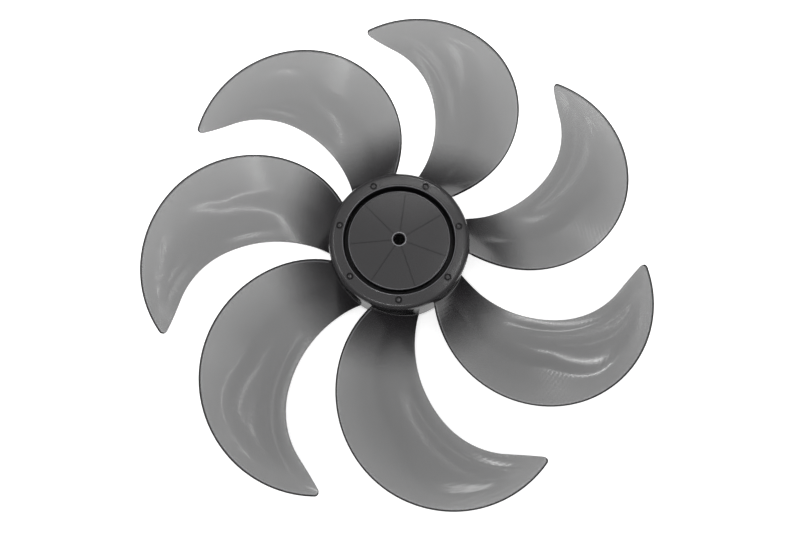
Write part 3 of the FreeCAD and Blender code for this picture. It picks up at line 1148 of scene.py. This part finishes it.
@dataclass(frozen=True)
class Hub:
    """Open cup with a grooved face, a bored and slotted boss, ribs and gate marks."""

    sizes: HubSizes
    rim_round: float = 4.5
    rim_steps: int = 12
    groove_depth: float = 9.0
    disc_drop: float = 1.2
    collar_wall: float = 1.4
    collar_rise: float = 1.0
    bore_radius: float = 4.0
    bore_chamfer: float = 0.5
    boss_wall: float = 5.0
    seat_height: float = 0.0
    slot_depth: float = 6.0
    slot_width: float = 5.0
    rib_thickness: float = 1.8
    rib_clearance: float = 4.0
    gate_lead: float = 5.3
    gate_inset: float = 7.0
    gate_radius: float = 2.45
    gate_depth: float = 1.0
    gate_moat: float = 0.85
    gate_lip: float = 0.2
    gate_reach: float = 1.5
    gate_segments: int = 32
    land_drop: float = 0.25
    nub_radius: float = 0.6
    nub_rise: float = 0.2
    nub_shoulder: tuple[float, float] = (0.6, 0.85)
    crisp: float = 0.5
    soft: float = 0.8
    lip_round: float = 0.9
    lip_steps: int = 4
    # A point within this distance of a face counts as on it.
    snap: float = 0.1
    # Strengths of painted shade in the groove, in the gate marks and on the skirt under the rim.
    groove_shade: float = 0.85
    gate_shade: float = 0.7
    skirt_shade: float = 0.94
    # Strength of the painted highlight on the edges of disc and rim.
    edge_highlight_strength: float = 0.5
    segments: int = 192

    @property
    def disc_height(self) -> float:
        """Height of the disc's front."""
        return self.sizes.front - self.disc_drop

    @property
    def groove_height(self) -> float:
        """Height of the groove's floor."""
        return self.sizes.front - self.groove_depth

    @property
    def boss_radius(self) -> float:
        """Outer radius of the boss."""
        return self.bore_radius + self.boss_wall

    def build(self, finish: Material) -> Object:
        """Makes the hub with its ribs, gate marks and slot.

        Args:
            finish: Material of the hub.

        Returns:
            The hub as one plain mesh.
        """
        cup = turned("hub_cup", rounded(self.outline()), self.segments)
        ribs = self.ribs(finish)
        gates = self.gate_cutters(finish)
        slot = self.slot_cutter()
        for tool, cut in ((ribs, Cut.ADD), (slot, Cut.TAKE), (gates, Cut.TAKE)):
            combine(cup, tool, cut)
        LOG.info("hub: %d ribs and gate marks", self.sizes.blade_count)
        return cup

    def mark_shades(self, mesh: Mesh) -> None:
        """Writes where the hub gets painted shade, in its recesses and under its rim, and where its
        thin edges get painted highlights.

        Args:
            mesh: Joined mesh, which gets the attributes "painted_shade" and
                "painted_edge_highlight", each from 0 to 1.
        """
        painted_shade = mesh.attributes.new("painted_shade", "FLOAT", "POINT")
        painted_highlights = mesh.attributes.new("painted_edge_highlight", "FLOAT", "POINT")
        for vert in mesh.vertices:
            radius, height = vert.co.to_2d().length / MM, vert.co.z / MM
            painted_shade.data[vert.index].value = self.painted_shade_share(radius, height)
            painted_highlights.data[vert.index].value = self.painted_highlight_share(radius, height)

    def painted_shade_share(self, radius: float, height: float) -> float:
        """Painted shade of a point deep in the groove or a gate mark, or on the skirt under the
        rim.

        Args:
            radius: Distance from the shaft's axis.
            height: Height of the point.

        Returns:
            0 in the open and 1 at the bottom.
        """
        sizes, snap = self.sizes, self.snap
        below = sizes.front - height
        over_groove = sizes.disc_radius - snap < radius < sizes.groove_edge + snap
        if over_groove and below < self.groove_depth + snap:
            return self.groove_shade * eased(below, self.disc_drop, self.groove_depth / 2)
        if sizes.groove_edge + self.lip_round < radius < sizes.radius - self.rim_round + snap:
            deep = eased(below, self.land_drop, self.gate_depth)
            return self.gate_shade * deep if below < self.gate_reach * self.gate_depth else 0.0
        on_skirt = sizes.radius - snap < radius < sizes.radius + sizes.flare + snap
        return self.skirt_shade if on_skirt and below > self.rim_round - snap else 0.0

    def painted_highlight_share(self, radius: float, height: float) -> float:
        """Painted highlight at a point on the collar's edge, or on the edges of disc and rim.

        Args:
            radius: Distance from the shaft's axis.
            height: Height of the point.

        Returns:
            0 on plain faces and 1 on the collar's edge.
        """
        outside = self.bore_radius + self.collar_wall
        on_collar = outside - self.crisp < radius < outside + self.snap
        if on_collar and height > self.disc_height + self.collar_rise / 2:
            return 1.0
        corners = (
            (self.sizes.disc_radius - radius, self.disc_height - height),
            (radius - self.sizes.groove_edge, self.sizes.front - height))
        for inward, below in corners:
            if 0 < inward < self.lip_round and 0 < below < self.lip_round:
                return self.edge_highlight_strength * min(1.0, min(inward, below) / self.snap)
        return 0.0

    def outline(self) -> tuple[Corner, ...]:
        """Lists the corners of the hub's turned section."""
        sizes, bore, crisp, soft = self.sizes, self.bore_radius, self.crisp, self.soft
        disc, groove, front = self.disc_height, self.groove_height, sizes.front
        inner, outer, skirt = sizes.disc_radius, sizes.groove_edge, sizes.radius + sizes.flare
        wall, rear = sizes.wall, front - sizes.depth
        collar, end = disc + self.collar_rise, self.seat_height - self.slot_depth
        return (
            Corner(bore, end, crisp / 2),
            Corner(bore, collar - self.bore_chamfer),
            Corner(bore + self.bore_chamfer, collar),
            Corner(bore + self.collar_wall, collar, crisp / 2),
            Corner(bore + self.collar_wall, disc, crisp / 2),
            Corner(inner, disc, self.lip_round, self.lip_steps),
            Corner(inner, groove, crisp),
            Corner(outer, groove, crisp),
            Corner(outer, front, self.lip_round, self.lip_steps),
            Corner(sizes.radius, front, self.rim_round, self.rim_steps),
            Corner(skirt, rear, crisp),
            Corner(skirt - wall, rear, crisp),
            Corner(sizes.radius - wall, front - wall, self.rim_round - wall, self.rim_steps // 2),
            Corner(outer + wall, front - wall, soft),
            Corner(outer + wall, groove - wall, soft),
            Corner(inner - wall, groove - wall, soft),
            Corner(inner - wall, disc - wall, soft),
            Corner(self.boss_radius, disc - wall, soft),
            Corner(self.boss_radius, end, crisp),
        )

    def ribs(self, finish: Material) -> Object:
        """Makes the ribs between boss and skirt, behind the disc.

        Args:
            finish: Material of the ribs.

        Returns:
            The ring of ribs, ending inside the walls that carry them.
        """
        sizes, inside = self.sizes, self.sizes.wall / 2
        start, half = self.boss_radius - self.boss_wall / 2, self.rib_thickness / 2
        foot, front = self.seat_height + self.rib_clearance, sizes.front
        outer, inner = sizes.groove_edge + inside, sizes.disc_radius - inside
        disc, groove = self.disc_height - inside, self.groove_height - inside
        outline = (
            (start, foot), (sizes.root_radius, foot), (sizes.root_radius, front - self.rim_round),
            (sizes.radius - self.rim_round, front - inside), (outer, front - inside),
            (outer, groove), (inner, groove), (inner, disc), (start, disc))
        shape = bmesh.new()
        left, right = (
            [shape.verts.new((out * MM, side * MM, up * MM)) for out, up in outline]
            for side in (half, -half))
        for side in (left, right):
            shape.faces.new(side)
        for at in range(len(outline)):
            shape.faces.new((left[at - 1], left[at], right[at], right[at - 1]))
        piece = mesh_object("rib_ring", shape)
        return ring_of(piece, "ring_of_ribs", finish, sizes, sizes.rib_lead)

    def gate_cutters(self, finish: Material) -> Object:
        """Makes the cutters that leave a round moat, a sunk land in it and the gate's nub.

        Args:
            finish: Material that the cuts leave.

        Returns:
            The ring of cutters.
        """
        sizes, lip = self.sizes, self.gate_lip
        front, land = sizes.front, sizes.front - self.land_drop
        floor, moat = front - self.gate_depth, self.gate_radius - self.gate_moat
        section = (
            (0.0, land + self.nub_rise),
            (self.nub_radius * self.nub_shoulder[0], land + self.nub_rise * self.nub_shoulder[1]),
            (self.nub_radius, land), (moat - lip, land), (moat, land - lip), (moat, floor),
            (self.gate_radius, floor), (self.gate_radius, front - lip),
            (self.gate_radius + 2 * lip, front + lip), (0.0, front + lip))
        piece = turned("gate_ring", [Vector(point) for point in section], self.gate_segments)
        for vert in piece.data.vertices:
            vert.co.x += (sizes.radius - self.gate_inset) * MM
        return ring_of(piece, "ring_of_gate_marks", finish, sizes, self.gate_lead)

    def slot_cutter(self) -> Object:
        """Makes the cutter for the drive pin's slot across the end of the boss."""
        shape = bmesh.new()
        bmesh.ops.create_cube(shape, size=1.0)
        # Twice as deep and four times as long as the boss needs, to cut right through it.
        low = self.seat_height - 2 * self.slot_depth
        for vert in shape.verts:
            vert.co.x *= 4 * self.boss_radius * MM
            vert.co.y *= self.slot_width * MM
            vert.co.z = (self.seat_height if vert.co.z > 0 else low) * MM
        return mesh_object("pin_slot", shape)


def combine(base: Object, tool: Object, cut: Cut) -> None:
    """Joins a tool's solid to a base, or cuts it away, and removes the tool.

    Args:
        base: Object that is changed.
        tool: Object that acts on it.
        cut: Whether the tool is added or taken away.
    """
    modifier = base.modifiers.new(tool.name, "BOOLEAN")
    modifier.operation = cut.value
    modifier.solver = "EXACT"
    modifier.object = tool
    bake_modifiers(base)
    mesh = tool.data
    bpy.data.objects.remove(tool)
    bpy.data.meshes.remove(mesh)


@dataclass(frozen=True)
class Moulding:
    """Hub and blades joined into the one moulding that stands for the CAD node."""

    node: str = "fan_blade"
    slot: str = "smoke_plastic"
    crease_angle: float = 38.0
    merge_distance: float = 0.002
    most_sides: int = 4

    def build(self) -> Object:
        """Makes, dresses and seats the moulding.

        Returns:
            The finished piece.
        """
        sizes = HubSizes()
        finish = SmokeSan().material(sizes)
        hub = Hub(sizes)
        piece = hub.build(finish)
        blades = BladeRing(BladePlan(sizes))
        combine(piece, blades.build(finish), Cut.ADD)
        piece.name = piece.data.name = "smoke_moulding"
        piece.data.materials.clear()
        piece.data.materials.append(finish)
        self.smooth(piece.data)
        blades.mark_trailing_edges(piece.data)
        hub.mark_shades(piece.data)
        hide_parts(self.node)
        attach(piece, "root")
        LOG.info("moulding: %d faces", len(piece.data.polygons))
        return piece

    def smooth(self, mesh: Mesh) -> None:
        """Shades the mesh smooth, with creases only at real corners.

        Args:
            mesh: Mesh that is changed.
        """
        shape = bmesh.new()
        shape.from_mesh(mesh)
        bmesh.ops.remove_doubles(shape, verts=shape.verts[:], dist=self.merge_distance * MM)
        bmesh.ops.triangulate(
            shape, faces=[face for face in shape.faces if len(face.verts) > self.most_sides])
        for face in shape.faces:
            face.smooth = True
            face.material_index = 0
        for edge in shape.edges:
            edge.smooth = edge.calc_face_angle(0.0) < math.radians(self.crease_angle)
        shape.to_mesh(mesh)
        shape.free()


@dataclass(frozen=True)
class SoftBox:
    """One soft box of the studio, in metres and watts: a lit panel that the plastic mirrors."""

    name: str
    place: tuple[float, float, float]
    size: tuple[float, float]
    power: float

    def build(self) -> Object:
        """Hangs the panel at its place, facing the part's origin."""
        light = bpy.data.lights.new(self.name, "AREA")
        light.shape = "RECTANGLE"
        light.size, light.size_y = self.size
        light.energy = self.power
        lamp = bpy.data.objects.new(self.name, light)
        lamp.location = self.place
        lamp.rotation_euler = (-lamp.location).to_track_quat("-Z", "Y").to_euler()
        bpy.context.scene.collection.objects.link(lamp)
        return lamp


@dataclass(frozen=True)
class Studio:
    """White paper, soft boxes and the camera, held above the fan's front.

    The camera's place and its sensor are in millimetres, and the rest of the studio is in metres.
    """

    # Each strip hangs where the scoops of one or two blades, or the rim, mirror it to the camera.
    boxes: tuple[SoftBox, ...] = (
        SoftBox("rear_strip", (0.2, 0.803, 0.84), (0.35, 0.07), 1.35),
        SoftBox("high_strip", (0.07, 0.495, 1.068), (0.3, 0.035), 0.17),
        SoftBox("rim_strip", (0.0, 0.435, 1.095), (0.24, 0.05), 0.06),
        SoftBox("near_strip", (0.285, 0.165, 1.13), (0.06, 0.16), 0.2),
        SoftBox("side_strip", (0.2, 0.27, 1.13), (0.05, 0.13), 0.03),
        SoftBox("left_strip", (-0.485, 0.155, 1.065), (0.42, 0.06), 0.5),
        SoftBox("front_strip", (-0.16, -0.52, 1.045), (0.6, 0.06), 1.05),
        SoftBox("right_strip", (0.47, -0.035, 1.08), (0.4, 0.06), 0.4),
    )
    tent_top: float = 1.0
    tent_foot: float = 0.25
    tent_low: float = 0.1
    tent_high: float = 0.9
    paper_size: float = 6.0
    paper_squares: int = 8
    camera_tilt: float = 12.228
    camera_place: tuple[float, float, float] = (0.63, -100.6, 390.9)
    focal_pixels: float = 522.1
    sensor_width: float = 36.0
    nearest_seen: float = 0.01

    def build(self, floor_height: float) -> None:
        """Sets up paper, light and camera.

        Args:
            floor_height: Height of the paper, in metres.
        """
        self.paper(floor_height)
        for box in self.boxes:
            box.build()
        scene = bpy.context.scene
        scene.world = self.tent()
        scene.view_settings.view_transform = "Standard"
        lens = bpy.data.cameras.new("front_camera")
        lens.sensor_width = self.sensor_width
        lens.lens = self.focal_pixels * self.sensor_width / IMAGE_WIDTH
        lens.clip_start = self.nearest_seen
        camera = bpy.data.objects.new("front_camera", lens)
        camera.location = [along * MM for along in self.camera_place]
        camera.rotation_euler = (math.radians(self.camera_tilt), 0.0, 0.0)
        scene.collection.objects.link(camera)
        scene.camera = camera
        LOG.info("studio: %d soft boxes", len(self.boxes))

    def tent(self) -> World:
        """Makes the light tent, bright overhead and dim towards its foot.

        Returns:
            The world that stands for the tent.
        """
        world = bpy.data.worlds.new("light_tent")
        tree = bare_tree(world)
        way = add_node(tree, "ShaderNodeSeparateXYZ", {}, {
            0: add_node(tree, "ShaderNodeTexCoord").outputs["Generated"]})
        strength = add_node(tree, "ShaderNodeMapRange", SMOOTH, {
            "Value": way.outputs["Z"], "From Min": self.tent_low, "From Max": self.tent_high,
            "To Min": self.tent_foot, "To Max": self.tent_top})
        cloth = add_node(tree, "ShaderNodeBackground", {}, {
            "Color": (1.0, 1.0, 1.0, 1.0), "Strength": strength})
        add_node(tree, "ShaderNodeOutputWorld", {}, {"Surface": cloth})
        return world

    def paper(self, height: float) -> None:
        """Lays the paper.

        Args:
            height: Height of the paper, in metres.
        """
        shape = bmesh.new()
        bmesh.ops.create_grid(
            shape, x_segments=self.paper_squares, y_segments=self.paper_squares,
            size=self.paper_size / 2)
        floor = mesh_object("paper_floor", shape)
        for vert in floor.data.vertices:
            vert.co.z = height
        floor.data.materials.append(PaperSweep().material(HubSizes()))
        floor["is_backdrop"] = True


def plain_box(box: tuple[Vector, Vector]) -> list[list[float]]:
    """Turns a box's two corners into plain lists."""
    return [[float(along) for along in corner] for corner in box]


def main() -> None:
    """Builds the dressed part and its studio in the CAD frame."""
    logging.basicConfig(level=logging.INFO, format="%(name)s: %(message)s")
    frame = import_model()
    LOG.info("frame: %s", ", ".join(sorted(frame["nodes"])))
    solid_box = plain_box(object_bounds())
    Moulding().build()
    Studio().build(solid_box[0][2])
    bpy.context.view_layer.update()


if __name__ == "__main__":
    main()
